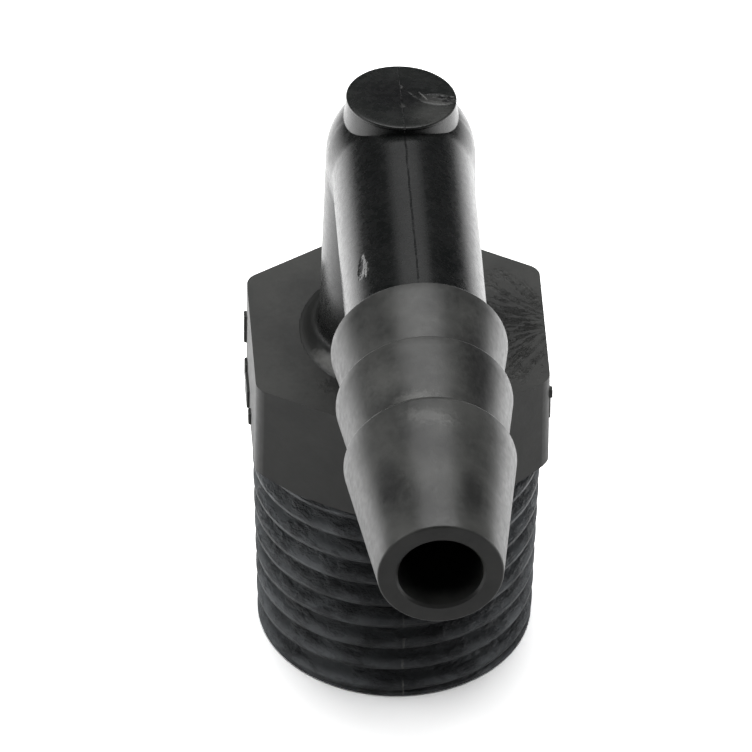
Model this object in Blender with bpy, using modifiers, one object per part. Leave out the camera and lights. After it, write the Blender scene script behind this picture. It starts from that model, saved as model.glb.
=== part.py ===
"""Male pipe thread to hose barb elbow, modelled as the named sections of its moulding.

The thread axis is vertical and the fitting stands on its thread end. The outlet
points along -Y. The origin is at the middle of the fitting's footprint box, on the
plane of the thread end, so the thread axis stands at y = THREAD_AXIS_Y.
"""
import math

import bmesh
import bpy

MM = 0.001

# Frame
THREAD_AXIS_Y = 11.4 * MM
GAP = 0.3 * MM

# Tapered pipe thread, 18 turns to the inch, 1 in 16 on the diameter
THREAD_PITCH = 25.4 / 18 * MM
THREAD_TAPER = 1 / 16
THREAD_CREST_RADIUS = 6.76 * MM
THREAD_DEPTH = 0.95 * MM
THREAD_CREST_FLAT = 0.16
THREAD_ROOT_FLAT = 0.16
THREAD_CREST_HEIGHT = 0.9 * MM
THREAD_LENGTH = 12.1 * MM
THREAD_CHAMFER = 0.05 * MM
THREAD_RIM_RADIUS = 6.70 * MM
THREAD_RIM_HEIGHT = 0.3 * MM
THREAD_TURNS = 12

# Hexagon
HEX_ACROSS_FLATS = 14.4 * MM
HEX_HEIGHT = 6.0 * MM
HEX_CORNER_BEVEL = 0.45 * MM
HEX_CHAMFER_RADIUS = 7.55 * MM
HEX_CHAMFER_HEIGHT = 0.55 * MM

# Riser column and knuckle
COLUMN_TOP_RADIUS = 3.66 * MM
COLUMN_BASE_RADIUS = 3.90 * MM
COLUMN_FILLET = 1.1 * MM
KNUCKLE_RADIUS = 3.64 * MM
KNUCKLE_DROP = 3.9 * MM
KNUCKLE_REACH = 4.2 * MM

# Outlet arm
OUTLET_ABOVE_HEX = 11.3 * MM
OUTLET_LENGTH = 31.0 * MM
STEM_RADIUS = 3.44 * MM
BARB_STARTS = (14.0 * MM, 17.95 * MM, 22.35 * MM)
BARB_CREST_RADII = (4.28 * MM, 4.28 * MM, 4.17 * MM)
BARB_BACK_LENGTH = 0.65 * MM
BARB_ROOT_RADIUS = 3.72 * MM
TIP_RADIUS = 3.05 * MM
TIP_ROUNDING = 0.3 * MM

# Round boss on top of the knuckle, trimmed at a slope that falls to the back and to the right
BOSS_ABOVE_OUTLET = 3.6 * MM
BOSS_HEIGHT = 1.15 * MM
BOSS_TOP_RADIUS = 2.70 * MM
BOSS_BASE_RADIUS = 2.80 * MM
BOSS_FALL_BACK = math.tan(math.radians(6.0))
BOSS_FALL_RIGHT = math.tan(math.radians(2.6))
BOSS_EDGE_BEVEL = 0.15 * MM

# Waterway
THREAD_BORE_RADIUS = 3.8 * MM
THREAD_BORE_DEPTH = 15.0 * MM
BORE_STEP_LENGTH = 1.2 * MM
BORE_RADIUS = 2.06 * MM
BRANCH_BORE_RADIUS = 2.0 * MM

# Worked out from the dimensions above
HEX_BOTTOM = THREAD_LENGTH
HEX_TOP = HEX_BOTTOM + HEX_HEIGHT
OUTLET_Z = HEX_TOP + OUTLET_ABOVE_HEX
BOSS_TOP = OUTLET_Z + BOSS_ABOVE_OUTLET
BOSS_BOTTOM = BOSS_TOP - BOSS_HEIGHT
COLUMN_TOP = OUTLET_Z - KNUCKLE_DROP - GAP

# Faceting of the round surfaces
ROUND_STEPS = 40
THREAD_STEPS = 36
ARC_STEPS = 4
DOME_STEPS = 8
SMOOTH_ANGLE = 35
MERGE_DISTANCE = 0.001 * MM

BLACK_GLOSS = (0.018, 0.018, 0.019)
BLACK_SATIN = (0.030, 0.030, 0.031)


def clear_scene():
    for old in list(bpy.data.objects):
        bpy.data.objects.remove(old, do_unlink=True)


def new_collection(name):
    collection = bpy.data.collections.new(name)
    bpy.context.scene.collection.children.link(collection)
    return collection


def plastic(name, colour, roughness):
    material = bpy.data.materials.new(name)
    material.use_nodes = True
    shader = material.node_tree.nodes["Principled BSDF"]
    shader.inputs["Base Color"].default_value = (*colour, 1.0)
    shader.inputs["Roughness"].default_value = roughness
    shader.inputs["Metallic"].default_value = 0.0
    return material


def add_axis(name, location, rotation=(0.0, 0.0, 0.0)):
    axis = bpy.data.objects.new(name, None)
    axis.location = location
    axis.rotation_euler = rotation
    parts.objects.link(axis)
    return axis


def add_part(name, mesh, axis, material):
    part = bpy.data.objects.new(name, mesh)
    part.parent = axis
    mesh.materials.append(material)
    parts.objects.link(part)
    return part


def add_cutter(name, mesh, axis):
    cutter = bpy.data.objects.new(name, mesh)
    cutter.parent = axis
    cutter.hide_render = True
    cutter.display_type = "WIRE"
    cutters.objects.link(cutter)
    return cutter


def combine(part, other, operation):
    boolean = part.modifiers.new(f"{operation.lower()}_{other.name}", "BOOLEAN")
    boolean.operation = operation
    boolean.solver = "EXACT"
    boolean.object = other


def outline_mesh(name, points, closed):
    """An outline of (radius, height) points in the XZ plane, as edges."""
    mesh = bpy.data.meshes.new(name)
    edges = [(i, i + 1) for i in range(len(points) - 1)]
    if closed:
        edges.append((len(points) - 1, 0))
    mesh.from_pydata([(radius, 0.0, height) for radius, height in points], edges, [])
    return mesh


def turn(part, steps=ROUND_STEPS, rise=0.0, turns=1):
    """Turns an outline about Z, or winds it into a helix that rises by rise a turn."""
    screw = part.modifiers.new("turn", "SCREW")
    screw.axis = "Z"
    screw.steps = steps
    screw.render_steps = steps
    screw.screw_offset = rise
    screw.iterations = turns
    screw.use_merge_vertices = True
    screw.merge_threshold = MERGE_DISTANCE


def smooth(mesh):
    mesh.shade_smooth()
    mesh.set_sharp_from_angle(angle=math.radians(SMOOTH_ANGLE))


def arc(centre, radius, start, end, steps=ARC_STEPS):
    """Points along an arc, from one angle to another in degrees."""
    points = []
    for i in range(steps + 1):
        angle = math.radians(start + (end - start) * i / steps)
        points.append((centre[0] + radius * math.cos(angle), centre[1] + radius * math.sin(angle)))
    return points


def turned_part(name, outline, axis, material):
    part = add_part(name, outline_mesh(name, outline, closed=True), axis, material)
    turn(part)
    return part


def turned_cutter(name, outline, axis, closed):
    cutter = add_cutter(name, outline_mesh(name, outline, closed), axis)
    turn(cutter)
    return cutter


def rod(name, radius, start, end, axis):
    """A plain solid rod along its axis, used to join or to cut."""
    outline = [(0.0, end), (radius, end), (radius, start), (0.0, start)]
    return turned_cutter(name, outline, axis, closed=False)


def thread_helix():
    """The threaded body before its ends are cut, with its crests on a 1 in 16 taper."""
    crest = THREAD_CREST_FLAT / 2
    root = 0.5 - THREAD_ROOT_FLAT / 2
    crest_radius = THREAD_CREST_RADIUS
    root_radius = THREAD_CREST_RADIUS - THREAD_DEPTH
    one_pitch = [
        (crest_radius, -crest),
        (crest_radius, crest),
        (root_radius, root),
        (root_radius, 1 - root),
        (crest_radius, 1 - crest),
    ]
    lowest = THREAD_CREST_HEIGHT - 2 * THREAD_PITCH
    outline = [(radius, lowest + turn_part * THREAD_PITCH) for radius, turn_part in one_pitch]
    guide = add_cutter("thread_guide", outline_mesh("thread_guide", outline, closed=False), thread_axis)
    turn(guide, steps=THREAD_STEPS, rise=THREAD_PITCH, turns=THREAD_TURNS)

    evaluated = guide.evaluated_get(bpy.context.evaluated_depsgraph_get())
    mesh = bpy.data.meshes.new_from_object(evaluated)
    bpy.data.objects.remove(guide, do_unlink=True)

    shape = bmesh.new()
    shape.from_mesh(mesh)
    bmesh.ops.remove_doubles(shape, verts=shape.verts, dist=MERGE_DISTANCE)
    for vert in shape.verts:
        radius = math.hypot(vert.co.x, vert.co.y)
        tapered = radius + vert.co.z * THREAD_TAPER / 2
        vert.co.x *= tapered / radius
        vert.co.y *= tapered / radius
    open_edges = [edge for edge in shape.edges if edge.is_boundary]
    caps = bmesh.ops.holes_fill(shape, edges=open_edges, sides=0)["faces"]
    bmesh.ops.poke(shape, faces=caps)
    bmesh.ops.recalc_face_normals(shape, faces=shape.faces)
    shape.to_mesh(mesh)
    shape.free()
    return mesh


def make_threaded_shank():
    shank = add_part("threaded_shank", thread_helix(), thread_axis,
                     plastic("thread_plastic", BLACK_SATIN, 0.55))
    rim = rod("thread_rim", THREAD_RIM_RADIUS, -THREAD_PITCH, THREAD_RIM_HEIGHT, thread_axis)
    combine(shank, rim, "UNION")
    top = THREAD_LENGTH - GAP
    beyond = THREAD_CREST_RADIUS + THREAD_DEPTH
    start = THREAD_CREST_RADIUS - THREAD_CHAMFER
    blank = [
        (THREAD_BORE_RADIUS, top),
        (beyond, top),
        (beyond, beyond - start),
        (start, 0.0),
        (THREAD_BORE_RADIUS, 0.0),
    ]
    combine(shank, turned_cutter("shank_blank", blank, thread_axis, closed=True), "INTERSECT")
    smooth(shank.data)


def make_hex_collar():
    shape = bmesh.new()
    bmesh.ops.create_cone(
        shape, cap_ends=True, segments=6, depth=HEX_HEIGHT,
        radius1=HEX_ACROSS_FLATS / math.sqrt(3), radius2=HEX_ACROSS_FLATS / math.sqrt(3),
    )
    bmesh.ops.translate(shape, verts=shape.verts, vec=(0.0, 0.0, HEX_BOTTOM + HEX_HEIGHT / 2))
    corners = [edge for edge in shape.edges if abs(edge.verts[0].co.z - edge.verts[1].co.z) > HEX_HEIGHT / 2]
    bmesh.ops.bevel(shape, geom=corners, offset=HEX_CORNER_BEVEL, segments=3, profile=0.5, affect="EDGES")
    mesh = bpy.data.meshes.new("hex_collar")
    shape.to_mesh(mesh)
    shape.free()
    collar = add_part("hex_collar", mesh, thread_axis, plastic("collar_plastic", BLACK_SATIN, 0.45))

    beyond = HEX_ACROSS_FLATS
    above = HEX_TOP + MM
    slope = HEX_CHAMFER_HEIGHT / (HEX_ACROSS_FLATS / math.sqrt(3) - HEX_CHAMFER_RADIUS)
    blank = [
        (BORE_RADIUS, above),
        (beyond, above),
        (beyond, HEX_BOTTOM + (beyond - HEX_CHAMFER_RADIUS) * slope),
        (HEX_CHAMFER_RADIUS, HEX_BOTTOM),
        (HEX_CHAMFER_RADIUS, HEX_BOTTOM - MM),
        (THREAD_BORE_RADIUS, HEX_BOTTOM - MM),
        (THREAD_BORE_RADIUS, THREAD_BORE_DEPTH),
        (BORE_RADIUS, THREAD_BORE_DEPTH + BORE_STEP_LENGTH),
    ]
    combine(collar, turned_cutter("collar_blank", blank, thread_axis, closed=True), "INTERSECT")
    smooth(mesh)


def make_riser_column():
    foot = HEX_TOP + GAP
    fillet_centre = (COLUMN_BASE_RADIUS + COLUMN_FILLET, HEX_TOP + COLUMN_FILLET)
    foot_angle = math.degrees(math.asin((COLUMN_FILLET - GAP) / COLUMN_FILLET))
    outline = [
        (BORE_RADIUS, COLUMN_TOP),
        (COLUMN_TOP_RADIUS, COLUMN_TOP),
        *arc(fillet_centre, COLUMN_FILLET, 180, 180 + foot_angle),
        (BORE_RADIUS, foot),
    ]
    column = turned_part("riser_column", outline, thread_axis, plastic("column_plastic", BLACK_GLOSS, 0.28))
    smooth(column.data)


def make_elbow_knuckle():
    bottom = OUTLET_Z - KNUCKLE_DROP
    dome = arc((0.0, OUTLET_Z), KNUCKLE_RADIUS, 90, 0, steps=DOME_STEPS)
    outline = [*dome, (COLUMN_TOP_RADIUS, bottom), (0.0, bottom)]
    knuckle = add_part("elbow_knuckle", outline_mesh("elbow_knuckle", outline, closed=False), thread_axis,
                       plastic("knuckle_plastic", BLACK_GLOSS, 0.28))
    turn(knuckle)

    combine(knuckle, rod("knuckle_branch", STEM_RADIUS, 0.0, KNUCKLE_REACH, outlet_axis), "UNION")
    riser_bore = rod("riser_bore", BORE_RADIUS, bottom - MM, OUTLET_Z + BRANCH_BORE_RADIUS / 2, thread_axis)
    branch_bore = rod("branch_bore", BRANCH_BORE_RADIUS, BORE_RADIUS / 2, KNUCKLE_REACH + MM, outlet_axis)
    combine(knuckle, riser_bore, "DIFFERENCE")
    combine(knuckle, branch_bore, "DIFFERENCE")
    pocket = rod("boss_pocket", BOSS_BASE_RADIUS + GAP, BOSS_BOTTOM - GAP, BOSS_TOP + MM, thread_axis)
    combine(knuckle, pocket, "DIFFERENCE")
    smooth(knuckle.data)


def make_top_boss():
    shape = bmesh.new()
    bmesh.ops.create_cone(
        shape, cap_ends=True, segments=ROUND_STEPS, depth=BOSS_HEIGHT,
        radius1=BOSS_BASE_RADIUS, radius2=BOSS_TOP_RADIUS,
    )
    bmesh.ops.translate(shape, verts=shape.verts, vec=(0.0, 0.0, BOSS_BOTTOM + BOSS_HEIGHT / 2))
    rim = [edge for edge in shape.edges if min(vert.co.z for vert in edge.verts) > BOSS_TOP - GAP]
    for vert in {vert for edge in rim for vert in edge.verts}:
        vert.co.z -= vert.co.y * BOSS_FALL_BACK + vert.co.x * BOSS_FALL_RIGHT
    bmesh.ops.bevel(shape, geom=rim, offset=BOSS_EDGE_BEVEL, segments=2, profile=0.5, affect="EDGES")
    mesh = bpy.data.meshes.new("top_boss")
    shape.to_mesh(mesh)
    shape.free()
    add_part("top_boss", mesh, thread_axis, plastic("boss_plastic", BLACK_GLOSS, 0.35))
    smooth(mesh)


def make_outlet_stem():
    start = KNUCKLE_REACH + GAP
    end = BARB_STARTS[0] - GAP / 2
    outline = [(BORE_RADIUS, end), (STEM_RADIUS, end), (STEM_RADIUS, start), (BORE_RADIUS, start)]
    stem = turned_part("outlet_stem", outline, outlet_axis, plastic("stem_plastic", BLACK_GLOSS, 0.25))
    smooth(stem.data)


def make_barb(name, number):
    """One barb ring: a short rounded back behind the crest, then a long taper to the front."""
    start = BARB_STARTS[number] + GAP / 2
    crest_radius = BARB_CREST_RADII[number]
    is_last = number == len(BARB_STARTS) - 1
    back_radius = STEM_RADIUS if number == 0 else BARB_ROOT_RADIUS
    rise = crest_radius - back_radius
    back = [
        (crest_radius - rise * (1 - math.sin(angle)), start + BARB_BACK_LENGTH * (1 - math.cos(angle)))
        for angle in (math.radians(90 * i / ARC_STEPS) for i in range(ARC_STEPS, -1, -1))
    ]
    if is_last:
        nose = arc((TIP_RADIUS - TIP_ROUNDING, OUTLET_LENGTH - TIP_ROUNDING), TIP_ROUNDING, 90, 15)
        front = [(BORE_RADIUS, OUTLET_LENGTH), *nose]
    else:
        end = BARB_STARTS[number + 1] - GAP / 2
        front = [(BORE_RADIUS, end), (BARB_ROOT_RADIUS, end)]
    outline = [*front, *back, (BORE_RADIUS, start)]
    barb = turned_part(name, outline, outlet_axis, plastic(f"{name}_plastic", BLACK_SATIN, 0.5))
    smooth(barb.data)


clear_scene()
parts = new_collection("threaded_barb_elbow")
cutters = new_collection("cutters")
thread_axis = add_axis("thread_axis", (0.0, THREAD_AXIS_Y, 0.0))
outlet_axis = add_axis("outlet_axis", (0.0, THREAD_AXIS_Y, OUTLET_Z), (math.radians(90), 0.0, 0.0))
bpy.context.view_layer.update()

make_threaded_shank()
make_hex_collar()
make_riser_column()
make_elbow_knuckle()
make_top_boss()
make_outlet_stem()
for number, name in enumerate(("barb_1", "barb_2", "nose_barb")):
    make_barb(name, number)
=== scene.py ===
"""A black moulded elbow fitting: taper pipe thread, spanner hexagon, riser and barbed outlet."""
import math

import bmesh
import bpy
import numpy as np
from mathutils import Matrix, Vector


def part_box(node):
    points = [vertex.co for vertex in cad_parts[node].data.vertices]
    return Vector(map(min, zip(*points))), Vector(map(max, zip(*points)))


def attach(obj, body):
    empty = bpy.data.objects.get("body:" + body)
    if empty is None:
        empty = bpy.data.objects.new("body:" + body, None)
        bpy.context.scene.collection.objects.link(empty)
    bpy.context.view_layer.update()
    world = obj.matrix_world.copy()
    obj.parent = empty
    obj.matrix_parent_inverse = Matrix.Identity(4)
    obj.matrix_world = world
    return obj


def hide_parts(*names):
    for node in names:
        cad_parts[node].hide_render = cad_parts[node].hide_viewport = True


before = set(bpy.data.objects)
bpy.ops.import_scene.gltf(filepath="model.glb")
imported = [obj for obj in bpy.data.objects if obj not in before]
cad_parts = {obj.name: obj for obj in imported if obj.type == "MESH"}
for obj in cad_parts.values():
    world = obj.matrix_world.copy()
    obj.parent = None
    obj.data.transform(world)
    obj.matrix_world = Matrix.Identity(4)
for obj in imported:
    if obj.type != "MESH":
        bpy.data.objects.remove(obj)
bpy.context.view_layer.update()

# ---------------------------------------------------------------------------
# Camera
# A long lens looks down on the outlet's tip from a little to its left. The
# thread axis stands upright in the plane x = 0, where the mould parts, and the
# outlet runs forward (-Y) from it.
# ---------------------------------------------------------------------------
MM = 0.001
riser_low, riser_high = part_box("riser_column")
thread_axis_y = (riser_low.y + riser_high.y) / 2
camera_azimuth = math.radians(-4.0)
camera_elevation = math.radians(41.0)
camera_roll = math.radians(0.75)
camera_distance = 1.25
frame_side = 36.86 * MM
middle_height = 15 * MM
aim_point = Vector((0, thread_axis_y, middle_height))
aim_offset = (1.054 * MM, -0.025 * MM)

camera_data = bpy.data.cameras.new("camera")
camera_data.lens = camera_data.sensor_width * camera_distance / frame_side
camera_data.clip_start = 0.05
camera_data.clip_end = 20.0
camera = bpy.data.objects.new("camera", camera_data)
bpy.context.scene.collection.objects.link(camera)
towards_camera = Vector((
    math.sin(camera_azimuth) * math.cos(camera_elevation),
    -math.cos(camera_azimuth) * math.cos(camera_elevation),
    math.sin(camera_elevation),
))
facing = (-towards_camera).to_track_quat("-Z", "Y").to_matrix().to_4x4()
turn = facing @ Matrix.Rotation(camera_roll, 4, "Z")
camera.matrix_world = Matrix.Translation(aim_point + towards_camera * camera_distance) @ turn
camera.location -= turn.col[0].to_3d() * aim_offset[0] + turn.col[1].to_3d() * aim_offset[1]
bpy.context.scene.camera = camera

# ---------------------------------------------------------------------------
# Studio
# The fitting stands on a white table that glows as a light of its own, faint in
# front of it and bright behind and beside it, which the gloss mirrors; seen
# directly it is a brighter white. Soft boxes hang above, behind and on each side.
# ---------------------------------------------------------------------------
floor_size = 3.0
floor_drop = 0.02 * MM
side_share = 0.9
table_glow = 1.45
seen_glow = 0.01
seen_white = 1.65


def deselect_all():
    if bpy.context.object and bpy.context.object.mode != "OBJECT":
        bpy.ops.object.mode_set(mode="OBJECT")
    bpy.ops.object.select_all(action="DESELECT")


deselect_all()
bpy.ops.mesh.primitive_plane_add(size=floor_size, location=(0, 0, -floor_drop))
floor = bpy.context.object
floor.name = "floor"
floor_paint = bpy.data.materials.new("lit_white_floor")
floor_paint.use_nodes = True
floor_nodes = floor_paint.node_tree.nodes
floor_links = floor_paint.node_tree.links
floor_nodes.remove(floor_nodes["Principled BSDF"])


def floor_ramp(value, low=0.0, high=1.0, to_low=0.0, to_high=1.0):
    """Maps a value from low..high to to_low..to_high; either end can be another node's output."""
    node = floor_nodes.new("ShaderNodeMapRange")
    node.inputs["From Min"].default_value = low
    node.inputs["From Max"].default_value = high
    for socket, level in (("To Min", to_low), ("To Max", to_high)):
        if isinstance(level, float):
            node.inputs[socket].default_value = level
        else:
            floor_links.new(level, node.inputs[socket])
    floor_links.new(value, node.inputs["Value"])
    return node.outputs["Result"]


floor_place = floor_nodes.new("ShaderNodeTexCoord").outputs["Object"]
floor_axes = floor_nodes.new("ShaderNodeSeparateXYZ")
floor_links.new(floor_place, floor_axes.inputs["Vector"])
to_side = floor_nodes.new("ShaderNodeMath")
to_side.operation = "ABSOLUTE"
floor_links.new(floor_axes.outputs["X"], to_side.inputs[0])
to_back = floor_nodes.new("ShaderNodeMath")
to_back.operation = "MULTIPLY_ADD"
to_back.inputs[1].default_value = side_share
floor_links.new(to_side.outputs["Value"], to_back.inputs[0])
floor_links.new(floor_axes.outputs["Y"], to_back.inputs[2])
from_middle = floor_nodes.new("ShaderNodeVectorMath")
from_middle.operation = "LENGTH"
floor_links.new(floor_place, from_middle.inputs[0])
behind = floor_ramp(to_back.outputs["Value"], 0.012, 0.075, 0.02, table_glow)
nearby = floor_ramp(from_middle.outputs["Value"], 0.07, 0.22, 1.0, 0.15)
lit = floor_nodes.new("ShaderNodeMath")
lit.operation = "MULTIPLY"
floor_links.new(behind, lit.inputs[0])
floor_links.new(nearby, lit.inputs[1])

seen_directly = floor_nodes.new("ShaderNodeLightPath").outputs["Is Camera Ray"]
floor_glow = floor_nodes.new("ShaderNodeEmission")
floor_glow.inputs["Color"].default_value = (1.0, 1.0, 1.0, 1)
floor_links.new(floor_ramp(seen_directly, to_low=lit.outputs["Value"], to_high=seen_glow),
                floor_glow.inputs["Strength"])
floor_white = floor_nodes.new("ShaderNodeBsdfDiffuse")
returned = floor_ramp(to_back.outputs["Value"], 0.0, 0.060, 0.35, 0.80)
floor_links.new(floor_ramp(seen_directly, to_low=returned, to_high=seen_white), floor_white.inputs["Color"])
floor_sum = floor_nodes.new("ShaderNodeAddShader")
floor_links.new(floor_white.outputs["BSDF"], floor_sum.inputs[0])
floor_links.new(floor_glow.outputs["Emission"], floor_sum.inputs[1])
floor_links.new(floor_sum.outputs["Shader"], floor_nodes["Material Output"].inputs["Surface"])
floor.data.materials.append(floor_paint)


def soft_box(name, azimuth, elevation, distance, width, height, power):
    """A soft light that looks at the fitting; azimuth 180 is behind it, 90 to its right."""
    light_data = bpy.data.lights.new(name, "AREA")
    light_data.shape = "RECTANGLE"
    light_data.size = width
    light_data.size_y = height
    light_data.energy = power
    light = bpy.data.objects.new(name, light_data)
    bpy.context.scene.collection.objects.link(light)
    a = math.radians(azimuth)
    e = math.radians(elevation)
    away = Vector((math.sin(a) * math.cos(e), -math.cos(a) * math.cos(e), math.sin(e)))
    light.location = aim_point + away * distance
    light.rotation_euler = (-away).to_track_quat("-Z", "Y").to_euler()
    light.visible_camera = False
    return light


soft_box("back_soft_box", 181, 47, 0.50, 0.30, 0.14, 0.13)
soft_box("top_soft_box", 181, 76, 0.50, 0.46, 0.34, 1.35)
soft_box("left_soft_box", -92, 30, 0.50, 0.36, 0.22, 0.36)
soft_box("right_soft_box", 88, 9, 0.50, 0.26, 0.16, 0.30)
overhead = soft_box("overhead_light", 180, 86, 0.90, 0.80, 0.80, 7.4)
overhead.visible_glossy = False

world = bpy.data.worlds.new("studio")
bpy.context.scene.world = world
world.use_nodes = True
backdrop = world.node_tree.nodes["Background"]
backdrop.inputs["Color"].default_value = (0.93, 0.94, 0.95, 1)
backdrop.inputs["Strength"].default_value = 1.0
room = world.node_tree.nodes.new("ShaderNodeBackground")
room.inputs["Color"].default_value = (0.93, 0.96, 1.0, 1)
room.inputs["Strength"].default_value = 0.035
seen = world.node_tree.nodes.new("ShaderNodeLightPath")
choose = world.node_tree.nodes.new("ShaderNodeMixShader")
world_links = world.node_tree.links
world_links.new(seen.outputs["Is Camera Ray"], choose.inputs["Fac"])
world_links.new(room.outputs["Background"], choose.inputs[1])
world_links.new(backdrop.outputs["Background"], choose.inputs[2])
world_out = world.node_tree.nodes["World Output"]
world_links.new(choose.outputs["Shader"], world_out.inputs["Surface"])
bpy.context.scene.view_settings.view_transform = "Standard"

# ---------------------------------------------------------------------------
# Threaded shank
# Male taper pipe thread, 18 turns to the inch and 1 in 16 on the diameter, in
# black nylon. The mould gives it soft crests and roots, a torn, scaly skin and a
# hollow of uniform wall, and it is one with the hexagon above.
# ---------------------------------------------------------------------------
pitch = 25.4 / 18 * MM
taper = 1 / 32
crest_radius = 6.76 * MM
thread_depth = 0.80 * MM
crest_height = 0.9 * MM
end_rim_radius = 6.74 * MM
end_rim_height = 0.22 * MM
end_rim_slope = 1.8
end_chamfer_radius = 6.71 * MM
end_radius = 6.66 * MM
outside = 8.5 * MM
thread_bore = 3.8 * MM
thread_steps = 144
thread_turns = 12
thread_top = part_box("threaded_shank")[1].z + 0.35 * MM


def select_only(piece):
    deselect_all()
    piece.select_set(True)
    bpy.context.view_layer.objects.active = piece


def apply_modifiers(piece):
    select_only(piece)
    for modifier in list(piece.modifiers):
        bpy.ops.object.modifier_apply(modifier=modifier.name)


def set_in_place(piece, location=(0, 0, 0), rotation=(0, 0, 0)):
    """Moves a piece to its place and puts that place into its mesh."""
    select_only(piece)
    piece.location = location
    piece.rotation_euler = rotation
    bpy.ops.object.transform_apply(location=True, rotation=True, scale=True)


def on_thread_axis(piece):
    set_in_place(piece, location=(0, thread_axis_y, 0))


def smooth_piece(piece, angle):
    select_only(piece)
    bpy.ops.object.shade_smooth_by_angle(angle=math.radians(angle))


def draw_outline(name, points):
    """An open chain of edges through (radius, height) points at +X, extruded point by point."""
    deselect_all()
    bpy.ops.mesh.primitive_plane_add(size=0.1 * MM, location=(points[0][0], 0, points[0][1]))
    piece = bpy.context.object
    piece.name = name
    bpy.ops.object.transform_apply(location=True)
    bpy.ops.object.mode_set(mode="EDIT")
    bpy.ops.mesh.select_all(action="SELECT")
    bpy.ops.mesh.merge(type="CENTER")
    for here, there in zip(points, points[1:]):
        step = (there[0] - here[0], 0, there[1] - here[1])
        bpy.ops.mesh.extrude_vertices_move(TRANSFORM_OT_translate={"value": step})
    bpy.ops.object.mode_set(mode="OBJECT")
    return piece


def lathe(name, outline, segments=160):
    """Extrudes a circle from ring to ring of (radius, height) and joins the last ring to the first."""
    deselect_all()
    radius, height = outline[0]
    bpy.ops.mesh.primitive_circle_add(vertices=segments, radius=radius, location=(0, 0, height))
    piece = bpy.context.object
    piece.name = name
    bpy.ops.object.transform_apply(location=True)
    bpy.ops.object.mode_set(mode="EDIT")
    bpy.ops.mesh.select_all(action="SELECT")
    for next_radius, next_height in outline[1:]:
        rise = {"value": (0, 0, next_height - height)}
        bpy.ops.mesh.extrude_region_move(TRANSFORM_OT_translate=rise)
        grow = next_radius / radius
        bpy.ops.transform.resize(value=(grow, grow, 1), center_override=(0, 0, next_height))
        radius, height = next_radius, next_height
    bpy.ops.mesh.select_mode(type="EDGE")
    bpy.ops.mesh.select_all(action="DESELECT")
    bpy.ops.mesh.select_non_manifold(use_wire=False, use_multi_face=False, use_non_contiguous=False,
                                     use_verts=False)
    bpy.ops.mesh.bridge_edge_loops()
    bpy.ops.mesh.select_all(action="SELECT")
    bpy.ops.mesh.normals_make_consistent(inside=False)
    bpy.ops.object.mode_set(mode="OBJECT")
    return piece


def thread_radius(phase):
    """Radius at a phase of one pitch, 0 at the crest: flat-topped flanks with rounded corners."""
    half_crest, flank_width, straightness = 0.07, 0.36, 0.55
    flank = min(max((abs(phase) - half_crest) / flank_width, 0.0), 1.0)
    eased = flank * flank * (3 - 2 * flank)
    return crest_radius - thread_depth * (straightness * flank + (1 - straightness) * eased)


phases = [i / 16 - 0.5 for i in range(17)]
one_pitch = [(thread_radius(phase), crest_height + (phase - 2) * pitch) for phase in phases]
shank = draw_outline("threaded_shank_skin", one_pitch)
screw = shank.modifiers.new("wind", "SCREW")
screw.axis = "Z"
screw.steps = thread_steps
screw.render_steps = thread_steps
screw.screw_offset = pitch
screw.iterations = thread_turns
screw.use_merge_vertices = True
screw.merge_threshold = 0.001 * MM
apply_modifiers(shank)

shape = bmesh.new()
shape.from_mesh(shank.data)
bmesh.ops.remove_doubles(shape, verts=shape.verts, dist=0.002 * MM)
for vert in shape.verts:
    radius = math.hypot(vert.co.x, vert.co.y)
    rim_radius = end_rim_radius - max(0.0, vert.co.z - end_rim_height) * end_rim_slope
    grow = (max(radius, rim_radius) + vert.co.z * taper) / radius
    vert.co.x *= grow
    vert.co.y *= grow
ends = bmesh.ops.holes_fill(shape, edges=[e for e in shape.edges if e.is_boundary], sides=0)["faces"]
bmesh.ops.poke(shape, faces=ends)
bmesh.ops.recalc_face_normals(shape, faces=shape.faces)
shape.to_mesh(shank.data)
shape.free()

blank = lathe("shank_blank", [
    (thread_bore, thread_top),
    (outside, thread_top),
    (outside, 1.85 * MM),
    (end_chamfer_radius, 0.05 * MM),
    (end_radius, 0.0),
    (thread_bore + 0.2 * MM, 0.0),
    (thread_bore, 0.2 * MM),
], segments=144)
cut = shank.modifiers.new("turn_ends", "BOOLEAN")
cut.operation = "INTERSECT"
cut.object = blank
apply_modifiers(shank)
bpy.data.objects.remove(blank)
on_thread_axis(shank)
smooth_piece(shank, 38)


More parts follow.
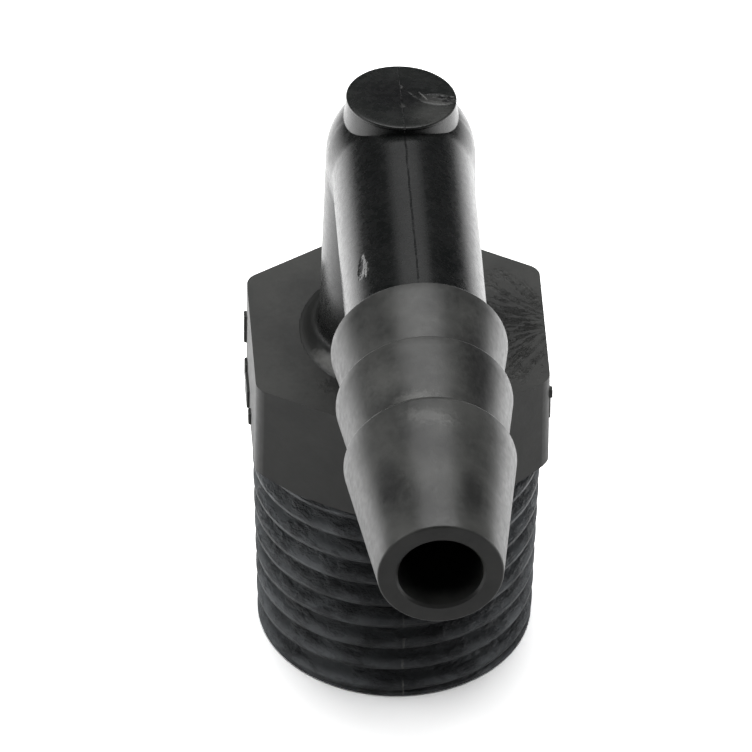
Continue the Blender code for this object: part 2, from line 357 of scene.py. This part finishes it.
def black_nylon(name, colour, haze, roughness, unevenness, grain, grain_size, waves,
                seam=0.0, scales=0.0, chatter=None, dull_foot=None, marks=()):
    """Black nylon. Colour is the body colour and haze the paler bloom that clouds it. Lengths are
    in millimetres: grain and waves are the heights of the fine texture and of the slow
    unevenness, seam the height of the parting line at x = 0 (below 0 for a sunk one), scales the
    depth of the torn skin on the thread. Each mark is (centre, half sizes, turn about Z in
    degrees, height, tint, raggedness); a tint above 0 pales the mark and below 0 darkens it.
    Chatter is (centre, half sizes) of a patch with fine curved tool marks, and dull_foot is
    (low, high, colour, roughness) of a finish that takes over from the height high down to low."""
    material = bpy.data.materials.new(name)
    material.use_nodes = True
    nodes = material.node_tree.nodes
    links = material.node_tree.links
    shader = nodes["Principled BSDF"]
    shader.inputs["IOR"].default_value = 1.52
    place = nodes.new("ShaderNodeTexCoord")
    in_mm = nodes.new("ShaderNodeMapping")
    in_mm.inputs["Scale"].default_value = (1000, 1000, 1000)
    links.new(place.outputs["Object"], in_mm.inputs["Vector"])
    axes = nodes.new("ShaderNodeSeparateXYZ")
    links.new(in_mm.outputs["Vector"], axes.inputs["Vector"])

    def noise(scale, detail, rough=0.55, vector=None):
        node = nodes.new("ShaderNodeTexNoise")
        node.inputs["Scale"].default_value = scale
        node.inputs["Detail"].default_value = detail
        node.inputs["Roughness"].default_value = rough
        links.new(vector or in_mm.outputs["Vector"], node.inputs["Vector"])
        return node.outputs["Fac"]

    def spread(value, low, high, to_low, to_high):
        node = nodes.new("ShaderNodeMapRange")
        node.inputs["From Min"].default_value = low
        node.inputs["From Max"].default_value = high
        node.inputs["To Min"].default_value = to_low
        node.inputs["To Max"].default_value = to_high
        links.new(value, node.inputs["Value"])
        return node.outputs["Result"]

    def calculate(operation, first, second=0.0):
        node = nodes.new("ShaderNodeMath")
        node.operation = operation
        for socket, value in zip(node.inputs, (first, second)):
            if isinstance(value, float):
                socket.default_value = value
            else:
                links.new(value, socket)
        return node.outputs["Value"]

    def mapped(centre, half_sizes, turn=0.0):
        node = nodes.new("ShaderNodeMapping")
        node.vector_type = "TEXTURE"
        node.inputs["Location"].default_value = centre
        node.inputs["Scale"].default_value = half_sizes
        node.inputs["Rotation"].default_value = (0, 0, math.radians(turn))
        links.new(in_mm.outputs["Vector"], node.inputs["Vector"])
        return node.outputs["Vector"]

    def blot(vector, raggedness):
        """1 inside the unit ball of a mapped place, fading to 0 at its edge."""
        node = nodes.new("ShaderNodeVectorMath")
        node.operation = "LENGTH"
        links.new(vector, node.inputs[0])
        edge = calculate("MULTIPLY", calculate("SUBTRACT", noise(4.0, 2), 0.5), raggedness)
        return spread(calculate("ADD", node.outputs["Value"], edge), 0.35, 1.0, 1.0, 0.0)

    def mix_colour(amount, first, second):
        node = nodes.new("ShaderNodeMix")
        node.data_type = "RGBA"
        links.new(amount, node.inputs["Factor"])
        for socket, value in (("A", first), ("B", second)):
            target = next(s for s in node.inputs if s.name == socket and s.type == "RGBA")
            if isinstance(value, tuple):
                target.default_value = (*value, 1)
            else:
                links.new(value, target)
        return next(s for s in node.outputs if s.type == "RGBA")

    pale = (0.22, 0.22, 0.21)
    dark = (0.002, 0.002, 0.0025)
    cloud = noise(0.45, 3)
    mottle = noise(3.0, 4)
    tint = mix_colour(spread(cloud, 0.35, 0.65, 0.0, 1.0), colour, haze)
    tint = mix_colour(spread(mottle, 0.45, 0.75, 0.0, 0.35), tint, haze)
    rough = spread(mottle, 0.3, 0.7, roughness - unevenness, roughness + unevenness)
    height = calculate("MULTIPLY", cloud, waves)
    height = calculate("ADD", height, calculate("MULTIPLY", noise(grain_size, 2), grain))

    if scales:
        stretched = mapped((0, 0, 0), (1.6, 1.6, 0.45))
        torn = spread(noise(0.9, 5, 0.62, stretched), 0.44, 0.62, 0.0, 1.0)
        flaky = calculate("MULTIPLY", torn, noise(2.4, 4, 0.7, stretched))
        height = calculate("ADD", height, calculate("MULTIPLY", flaky, scales))
        tint = mix_colour(spread(torn, 0.0, 1.0, 0.0, 0.55), tint, dark)
    if seam:
        half_width = 0.040 if seam < 0 else 0.075
        wander = calculate("MULTIPLY", calculate("SUBTRACT", noise(0.7, 3), 0.5), 0.16)
        off_seam = calculate("ABSOLUTE", calculate("ADD", axes.outputs["X"], wander))
        faint = spread(noise(1.3, 2), 0.36, 0.54, 0.35, 1.0)
        on_seam = calculate("MULTIPLY", spread(off_seam, 0.010, half_width, 1.0, 0.0), faint)
        if scales:
            radius = calculate("ABSOLUTE", calculate("SUBTRACT", axes.outputs["Y"], thread_axis_y / MM))
            radius = calculate("SUBTRACT", radius, calculate("MULTIPLY", axes.outputs["Z"], taper))
            on_crest = spread(radius, 6.35, 6.62, 0.0, 1.0)
            on_seam = calculate("MULTIPLY", on_seam, on_crest)
        height = calculate("ADD", height, calculate("MULTIPLY", on_seam, seam))
        if seam < 0:
            tint = mix_colour(calculate("MULTIPLY", on_seam, 0.7), tint, dark)
        else:
            tint = mix_colour(on_seam, tint, pale)
    if chatter:
        centre, half_sizes = chatter
        near = blot(mapped(centre, half_sizes), 0.9)
        across = calculate("SUBTRACT", axes.outputs["X"], centre[0] + 1.25 * half_sizes[0])
        along = calculate("SUBTRACT", axes.outputs["Y"], centre[1])
        bent = calculate("ADD", across, calculate("MULTIPLY", mottle, 1.4))
        fan = nodes.new("ShaderNodeCombineXYZ")
        links.new(calculate("MULTIPLY", calculate("ARCTAN2", along, across), 4.5), fan.inputs["X"])
        links.new(calculate("MULTIPLY", bent, 0.45), fan.inputs["Y"])
        line = spread(noise(2.2, 4, 0.6, fan.outputs["Vector"]), 0.48, 0.66, 0.0, 1.0)
        line = calculate("MULTIPLY", line, near)
        height = calculate("ADD", height, calculate("MULTIPLY", line, 0.07))
        tint = mix_colour(calculate("MULTIPLY", near, 0.35), tint, dark)
    if dull_foot:
        low, high, foot_colour, foot_roughness = dull_foot
        foot = spread(axes.outputs["Z"], low, high, 1.0, 0.0)
        tint = mix_colour(foot, tint, foot_colour)
        rough = calculate("ADD", rough, calculate("MULTIPLY", foot, foot_roughness - roughness))
    for centre, half_sizes, turn, mark_height, mark_tint, raggedness in marks:
        inside = blot(mapped(centre, half_sizes, turn), raggedness)
        height = calculate("ADD", height, calculate("MULTIPLY", inside, mark_height))
        strength = calculate("MULTIPLY", inside, abs(mark_tint))
        tint = mix_colour(strength, tint, pale if mark_tint > 0 else dark)

    links.new(tint, shader.inputs["Base Color"])
    links.new(rough, shader.inputs["Roughness"])
    relief = nodes.new("ShaderNodeBump")
    relief.inputs["Distance"].default_value = MM
    links.new(height, relief.inputs["Height"])
    links.new(relief.outputs["Normal"], shader.inputs["Normal"])
    return material


shank.data.materials.clear()
thread_speck = ((6.0, 8.0, 7.2), (0.07, 0.07, 0.07), 0, 0.03, 1.0, 0.2)
# Painted shade: the front of the thread, under the outlet, is darkened.
thread_front_painted_shade = ((0.8, 4.4, 6.5), (5.2, 3.6, 8.5), 0, 0.0, -0.55, 0.4)
shank.data.materials.append(black_nylon(
    "thread_nylon", (0.092, 0.098, 0.103), (0.148, 0.158, 0.166), 0.50, 0.06,
    grain=0.030, grain_size=3.2, waves=0.04, seam=0.05, scales=0.16,
    marks=[thread_speck, thread_front_painted_shade]))
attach(shank, "root")
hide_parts("threaded_shank")

# ---------------------------------------------------------------------------
# Hexagon
# The spanner collar, 14.4 mm across flats, of satin black nylon. It is moulded
# with softened corners, a chamfer at its lower edge and raised bars on two
# flats, and is one with the thread below and the riser above.
# ---------------------------------------------------------------------------
hex_low, hex_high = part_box("hex_collar")
hex_bottom = hex_low.z
hex_top = hex_high.z
across_flats = hex_high.x - hex_low.x
corner_rounding = 0.45 * MM
edge_rounding = 0.13 * MM
clear_of_corners = 12 * MM
foot_chamfer_radius = 7.20 * MM
bore_step_radius = 2.1 * MM
bar_height = 0.14 * MM
# Each bar is (place along the flat, height up the fitting, length, width), in millimetres.
left_bars = [(3.75, 15.3, 0.5, 1.7), (2.9, 13.3, 0.6, 1.0), (1.7, 12.95, 1.5, 1.1), (-0.2, 12.9, 0.5, 0.7)]
right_bars = [(-3.7, 16.9, 0.4, 0.5), (-2.4, 15.2, 0.9, 1.5), (-0.9, 14.8, 0.5, 1.5), (1.2, 15.0, 1.6, 0.6)]
deselect_all()
bpy.ops.mesh.primitive_cylinder_add(
    vertices=6, radius=across_flats / math.sqrt(3), depth=hex_top - hex_bottom,
    location=(0, 0, (hex_top + hex_bottom) / 2))
collar = bpy.context.object
collar.name = "hex_collar_skin"
bpy.ops.object.transform_apply(location=True, rotation=True, scale=True)
bpy.ops.object.mode_set(mode="EDIT")
bpy.ops.mesh.select_mode(type="EDGE")
bpy.ops.mesh.select_all(action="DESELECT")
shape = bmesh.from_edit_mesh(collar.data)
for edge in shape.edges:
    edge.select = abs(edge.verts[0].co.z - edge.verts[1].co.z) > MM
bmesh.update_edit_mesh(collar.data)
bpy.ops.mesh.bevel(offset=corner_rounding, segments=8, profile=0.5, affect="EDGES")
bpy.ops.object.mode_set(mode="OBJECT")

blank = lathe("collar_blank", [
    (bore_step_radius, hex_top + MM),
    (clear_of_corners, hex_top + MM),
    (clear_of_corners, hex_bottom + 3.2 * MM),
    (7.75 * MM, hex_bottom + 0.30 * MM),
    (7.45 * MM, hex_bottom + 0.08 * MM),
    (foot_chamfer_radius, hex_bottom),
    (foot_chamfer_radius, hex_bottom - MM),
    (thread_bore, hex_bottom - MM),
    (thread_bore, 15.0 * MM),
    (bore_step_radius, 16.2 * MM),
], segments=144)
cut = collar.modifiers.new("turn_ends", "BOOLEAN")
cut.operation = "INTERSECT"
cut.object = blank
apply_modifiers(collar)
bpy.data.objects.remove(blank)
round_over = collar.modifiers.new("round_over", "BEVEL")
round_over.width = edge_rounding
round_over.segments = 3
round_over.limit_method = "ANGLE"
round_over.angle_limit = math.radians(35)
apply_modifiers(collar)
for side, bars in ((-1, left_bars), (1, right_bars)):
    for along, up, length, width in bars:
        deselect_all()
        bpy.ops.mesh.primitive_cube_add(size=1, location=(side * across_flats / 2, along * MM, up * MM))
        bar = bpy.context.object
        bar.scale = (2 * bar_height, length * MM, width * MM)
        bpy.ops.object.transform_apply(location=True, rotation=True, scale=True)
        soften = bar.modifiers.new("soften", "BEVEL")
        soften.width = 0.06 * MM
        soften.segments = 2
        apply_modifiers(bar)
        weld = collar.modifiers.new("raise_bar", "BOOLEAN")
        weld.operation = "UNION"
        weld.object = bar
        apply_modifiers(collar)
        bpy.data.objects.remove(bar)
on_thread_axis(collar)
smooth_piece(collar, 30)
six_ways = [math.radians(60 * i) for i in range(6)]
plane_faces = [Vector((0, 0, 1)), Vector((0, 0, -1))]
plane_faces += [Vector((math.cos(a), math.sin(a), 0)) for a in six_ways]
for face in collar.data.polygons:
    if any(face.normal.dot(direction) > 0.99999 for direction in plane_faces):
        face.use_smooth = False
collar.data.materials.clear()
chatter_fan = ((5.6, 11.3, 18.1), (1.9, 4.8, 0.8))
hex_speck = ((6.6, 7.0, 15.0), (0.08, 0.08, 0.08), 0, 0.03, 1.0, 0.2)
# A shallow dent beside the front-left of the riser's foot, darkened with painted shade.
dent_with_painted_shade = ((-2.9, 7.6, 18.1), (1.3, 0.7, 0.5), 20, -0.02, -0.5, 1.2)
# Painted shade on the hexagon, darkest at the riser's foot and fading outward.
painted_shade_round_riser = ((-0.4, 11.2, 18.1), (6.6, 6.6, 2.0), 0, 0.0, -0.60, 0.7)
collar.data.materials.append(black_nylon(
    "hex_nylon", (0.025, 0.0255, 0.024), (0.036, 0.0365, 0.034), 0.46, 0.05,
    grain=0.005, grain_size=5.0, waves=0.02, chatter=chatter_fan,
    marks=[hex_speck, dent_with_painted_shade, painted_shade_round_riser]))
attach(collar, "root")
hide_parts("hex_collar")

# ---------------------------------------------------------------------------
# Riser, knuckle and stem
# A drafted column of black nylon with a sweeping foot turns under a dome into
# the plain stem. The polished steel that moulds them leaves a gloss, small even
# fillets and a fine sunk parting line.
# ---------------------------------------------------------------------------
column_foot_radius = 3.90
column_top_radius = 3.64
dome_radius = 3.64
stem_radius = 3.44
foot_fillet = 1.1
crotch_fillet = 0.30
water_radius = 2.1
voxel = 0.12
stem_low, stem_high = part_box("outlet_stem")
boss_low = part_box("top_boss")[0]
outlet_z = (stem_low.z + stem_high.z) / 2
arm_height = outlet_z / MM
stem_end = (thread_axis_y - stem_low.y) / MM + 0.35
flange_radius = 4.90
boss_seat_height = boss_low.z / MM + 0.3
boss_seat_radius = 2.45
column_base = hex_top / MM - 0.006
buried = 0.5
flange_flare = 9
far_away = 99.0


def rounded_union(first, second, fillet):
    """Two distance fields joined with a circular fillet."""
    reach = np.hypot(np.maximum(fillet - first, 0), np.maximum(fillet - second, 0))
    return np.where((first < fillet) & (second < fillet), fillet - reach, np.minimum(first, second))


def moulding_distance(points):
    """Distance from the moulding's skin, in millimetres from the foot of the thread axis."""
    x, y, z = points.T
    from_axis = np.hypot(x, y)
    height = np.clip((z - column_base) / (arm_height - column_base), 0, 1)
    draft = (column_top_radius - column_foot_radius) * height
    from_knuckle = np.sqrt(from_axis ** 2 + (z - arm_height) ** 2)
    column = np.where(z > arm_height, from_knuckle - dome_radius, from_axis - column_foot_radius - draft)
    column = rounded_union(column, z - column_base, foot_fillet)
    stem = np.maximum(np.hypot(x, z - arm_height) - stem_radius, y + 0.5)
    skin = rounded_union(column, stem, crotch_fillet)
    skin = np.maximum(skin, -y - stem_end)
    skin = np.maximum(skin, column_base - buried - z)
    above_foot = z > column_base + foot_fillet
    skin = np.maximum(skin, from_axis - flange_radius - np.maximum(-y, 0) * flange_flare * above_foot)
    riser_water = np.where(z > arm_height, from_knuckle, from_axis)
    branch_water = np.where(y < 0, np.hypot(x, z - arm_height), far_away)
    water = np.minimum(riser_water, branch_water) - water_radius
    boss_seat = np.maximum(from_axis - boss_seat_radius, boss_seat_height - z)
    return np.maximum(np.maximum(skin, -water), -boss_seat)


def settle_on_skin(mesh, rounds=6):
    """Moves every vertex down the distance field's slope until it lies on the skin."""
    count = len(mesh.vertices)
    flat = np.empty(count * 3)
    mesh.vertices.foreach_get("co", flat)
    points = flat.reshape(count, 3) / MM
    nudge, longest_move = 0.002, 0.15
    for _ in range(rounds):
        distance = moulding_distance(points)
        slope = np.stack([
            moulding_distance(points + nudge * axis) - moulding_distance(points - nudge * axis)
            for axis in np.eye(3)
        ], axis=1) / (2 * nudge)
        steepness = np.maximum((slope ** 2).sum(axis=1), 0.25)
        move = (distance / steepness)[:, None] * slope
        points = points - np.clip(move, -longest_move, longest_move)
    mesh.vertices.foreach_set("co", (points * MM).ravel())
    mesh.update()


moulding = lathe("riser_column_skin", [
    (water_radius * MM, (column_base - buried) * MM),
    (water_radius * MM, arm_height * MM),
    (0.4 * water_radius * MM, (arm_height + water_radius) * MM),
    (0.4 * dome_radius * MM, (arm_height + dome_radius) * MM),
    (0.9 * dome_radius * MM, (arm_height + 0.5 * dome_radius) * MM),
    (column_top_radius * MM, arm_height * MM),
    (column_foot_radius * MM, (column_base + foot_fillet) * MM),
    (flange_radius * MM, column_base * MM),
    (flange_radius * MM, (column_base - buried) * MM),
], segments=96)
cap = moulding.modifiers.new("close_dome", "BOOLEAN")
deselect_all()
bpy.ops.mesh.primitive_uv_sphere_add(segments=64, ring_count=32, radius=dome_radius * MM,
                                     location=(0, 0, arm_height * MM))
dome_ball = bpy.context.object
cap.operation = "UNION"
cap.object = dome_ball
deselect_all()
bpy.ops.mesh.primitive_cylinder_add(vertices=96, radius=stem_radius * MM, depth=stem_end * MM,
                                    location=(0, -stem_end / 2 * MM, arm_height * MM),
                                    rotation=(math.radians(90), 0, 0))
stem_rod = bpy.context.object
join = moulding.modifiers.new("join_stem", "BOOLEAN")
join.operation = "UNION"
join.object = stem_rod
deselect_all()
bpy.ops.mesh.primitive_cylinder_add(vertices=64, radius=water_radius * MM, depth=(stem_end + 1) * MM,
                                    location=(0, -(stem_end + 1) / 2 * MM, arm_height * MM),
                                    rotation=(math.radians(90), 0, 0))
water_rod = bpy.context.object
drill = moulding.modifiers.new("drill_stem", "BOOLEAN")
drill.operation = "DIFFERENCE"
drill.object = water_rod
deselect_all()
bpy.ops.mesh.primitive_cylinder_add(vertices=64, radius=water_radius * MM, depth=14 * MM,
                                    location=(0, 0, (arm_height - 7) * MM))
water_riser = bpy.context.object
bore = moulding.modifiers.new("drill_riser", "BOOLEAN")
bore.operation = "DIFFERENCE"
bore.object = water_riser
remesh = moulding.modifiers.new("even_mesh", "REMESH")
remesh.mode = "VOXEL"
remesh.voxel_size = voxel * MM
apply_modifiers(moulding)
for tool in (dome_ball, stem_rod, water_rod, water_riser):
    bpy.data.objects.remove(tool)
settle_on_skin(moulding.data)
on_thread_axis(moulding)
smooth_piece(moulding, 50)
moulding.data.materials.clear()
nick_hollow = ((-2.60, 0.35, 31.70), (0.20, 0.85, 0.6), -6, -0.14, -1.0, 0.9)
nick_lip = ((-2.36, -0.10, 31.90), (0.10, 0.50, 0.5), -4, 0.05, 0.12, 0.9)
# Painted reflection: a pale streak down the front-left of the foot fillet.
foot_painted_reflection = ((-3.45, 8.70, 18.50), (0.42, 1.70, 0.9), 38, 0.0, 0.60, 0.5)
moulding.data.materials.append(black_nylon(
    "gloss_nylon", (0.0040, 0.0046, 0.0044), (0.0075, 0.0080, 0.0078), 0.27, 0.05,
    grain=0.0014, grain_size=7.0, waves=0.012, seam=-0.02,
    dull_foot=(column_base, column_base + 0.8, (0.016, 0.0165, 0.0155), 0.42),
    marks=[nick_hollow, nick_lip, foot_painted_reflection]))
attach(moulding, "root")
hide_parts("riser_column", "elbow_knuckle", "outlet_stem")

# ---------------------------------------------------------------------------
# Top boss
# A short round pad of the same black nylon on the dome, where the mould's gate
# was. Its top slopes back, has a soft rim, and keeps the gate's scar and pits.
# ---------------------------------------------------------------------------
boss_middle = 33.0 * MM
boss_half_width = 2.70 * MM
boss_foot_half_width = 2.80 * MM
boss_rim = 0.11 * MM
boss_foot = boss_low.z - 0.6 * MM
boss_middle_hole = 0.02 * MM
sloping_height = 0.4 * MM
fall_back = math.tan(math.radians(6.0))
fall_right = math.tan(math.radians(2.6))
rim = [
    (boss_half_width - boss_rim * (1 - math.sin(a)), boss_middle - boss_rim * (1 - math.cos(a)))
    for a in (math.radians(20 * i) for i in range(8))
]
boss = lathe("top_boss_skin", [
    (boss_middle_hole, boss_foot),
    (boss_middle_hole, boss_middle),
    *[(boss_half_width * i / 8, boss_middle) for i in range(1, 8)],
    *rim,
    (boss_half_width - 0.07 * MM, boss_middle - 0.24 * MM),
    (boss_half_width - 0.05 * MM, boss_middle - 0.34 * MM),
    (boss_foot_half_width, boss_low.z),
    (boss_foot_half_width + 0.03 * MM, boss_foot),
], segments=128)
for vert in boss.data.vertices:
    if vert.co.z > boss_middle - sloping_height:
        vert.co.z -= vert.co.y * fall_back + vert.co.x * fall_right
on_thread_axis(boss)
smooth_piece(boss, 40)
boss.data.materials.clear()
gate_scar = [
    ((1.72, 11.18, 32.9), (0.95, 0.50, 0.5), -8, 0.09, 0.28, 0.25),
    ((1.72, 11.18, 32.9), (0.78, 0.36, 0.5), -8, -0.05, -0.55, 0.5),
]
gate_pits = [
    ((1.95, 11.34, 32.9), (0.24, 0.20, 0.5), 0, -0.10, -1.0, 0.3),
    ((2.20, 11.02, 32.9), (0.30, 0.22, 0.5), 30, -0.10, -1.0, 0.3),
    ((2.40, 11.28, 32.9), (0.22, 0.20, 0.5), 0, -0.08, -1.0, 0.3),
]
boss_scratches = [
    ((1.06, 11.48, 32.9), (0.06, 0.45, 0.5), 30, 0.03, 0.8, 0.2),
    ((0.60, 11.50, 32.9), (0.05, 0.47, 0.5), 39, -0.02, 0.2, 0.2),
]
boss_specks = [
    ((0.06, 12.25, 33.0), (0.09, 0.12, 0.5), 0, 0.03, 0.7, 0.4),
    ((0.03, 10.65, 33.0), (0.16, 0.20, 0.5), 0, 0.02, 0.25, 0.9),
]
# Painted shade darkens the middle and left of the top; a painted highlight pales its front right.
boss_painted_shade_and_highlight = [
    ((-0.3, 11.6, 33.0), (2.0, 1.8, 0.9), 0, 0.0, -0.75, 0.5),
    ((1.5, 10.0, 33.0), (1.5, 1.2, 0.9), 20, 0.0, 0.13, 0.5),
]
boss.data.materials.append(black_nylon(
    "boss_nylon", (0.0065, 0.0075, 0.0070), (0.0130, 0.0138, 0.0132), 0.27, 0.05,
    grain=0.003, grain_size=6.0, waves=0.02, seam=-0.05,
    marks=gate_scar + gate_pits + boss_scratches + boss_specks + boss_painted_shade_and_highlight))
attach(boss, "root")
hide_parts("top_boss")

# ---------------------------------------------------------------------------
# Barbs
# Three rings of cloudy matte black nylon that hold the hose. Each is moulded to
# rise steeply to a crest at its back and taper forward, and the last runs on to
# the flat, open tip.
# ---------------------------------------------------------------------------
barb_starts = (14.0 * MM, 17.95 * MM, 22.35 * MM)
barb_crests = (4.28 * MM, 4.28 * MM, 4.17 * MM)
barb_root = 3.72 * MM
barb_back = 0.65 * MM
tip_radius = 3.05 * MM
crest_rounding = 0.10 * MM
tip_rounding = 0.14 * MM
bore_radius = 2.06 * MM
bore_chamfer = 0.12 * MM
overlap = 0.2 * MM
outlet_length = thread_axis_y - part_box("nose_barb")[0].y
pale_scuffs = [
    ((-0.9, -10.9, 33.3), (1.5, 0.60, 1.2), 4, 0.015, 0.20, 1.1),
    ((-0.1, -12.6, 33.2), (1.5, 0.60, 1.2), -16, 0.010, 0.15, 1.1),
    ((-2.2, -9.0, 32.5), (1.1, 1.6, 1.5), 0, 0.0, 0.10, 1.0),
]
# The first darkens the right side of the barbs as painted shade; the other two darken soft patches near the
# tip.
painted_shade_and_dark_patches = [
    ((2.6, -8.0, 32.2), (1.3, 4.5, 1.9), 0, 0.0, -0.60, 0.8),
    ((-2.3, -16.2, 32.0), (0.9, 2.2, 1.3), 4, 0.0, -0.55, 0.5),
    ((1.7, -17.0, 32.3), (0.8, 2.0, 1.3), 0, 0.0, -0.55, 0.5),
]
barb_finish = black_nylon(
    "barb_nylon", (0.026, 0.0265, 0.0255), (0.050, 0.0505, 0.0480), 0.36, 0.07,
    grain=0.003, grain_size=5.0, waves=0.03, marks=pale_scuffs + painted_shade_and_dark_patches)


def on_outlet_axis(piece):
    """Lays a piece that was turned about +Z along the outlet, with its front to -Y."""
    set_in_place(piece, (0, thread_axis_y, outlet_z), (math.radians(90), 0, 0))


def barb_outline(start, crest, root_behind, end, end_radius, last):
    """Bore, front, long taper, rounded crest and back of one barb, as (radius, height) rings."""
    rings = [
        (bore_radius, start - overlap),
        (bore_radius, end - bore_chamfer),
        (bore_radius + bore_chamfer, end),
    ]
    if last:
        for i in range(7):
            a = math.radians(90 - 13 * i)
            rings.append((end_radius - tip_rounding * (1 - math.cos(a)),
                          end - tip_rounding * (1 - math.sin(a))))
    else:
        rings.append((end_radius, end))
    crest_at = start + barb_back
    taper_end = end - tip_rounding * last
    for i in range(1, 8):
        part = i / 8
        rings.append((end_radius + (crest - end_radius) * part, taper_end - (taper_end - crest_at) * part))
    for i in range(8):
        a = math.radians(90 - 10 * i)
        rings.append((crest - crest_rounding * (1 - math.sin(a)), crest_at - crest_rounding * math.cos(a)))
    rings.append((root_behind + 0.20 * MM, start + 0.22 * MM))
    rings.append((root_behind + 0.06 * MM, start + 0.12 * MM))
    rings.append((root_behind, start))
    rings.append((root_behind - 0.1 * MM, start - overlap))
    return rings


for number, name in enumerate(("barb_1", "barb_2", "nose_barb")):
    last = number == 2
    end = outlet_length if last else barb_starts[number + 1]
    barb = lathe(f"{name}_skin", barb_outline(
        barb_starts[number], barb_crests[number], barb_root if number else stem_radius * MM,
        end, tip_radius if last else barb_root, last), segments=160)
    on_outlet_axis(barb)
    smooth_piece(barb, 35)
    barb.data.materials.clear()
    barb.data.materials.append(barb_finish)
    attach(barb, "root")
    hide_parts(name)

# ---------------------------------------------------------------------------
# Finish
# The view layer is brought up to date with all the pieces in place.
# ---------------------------------------------------------------------------
bpy.context.view_layer.update()
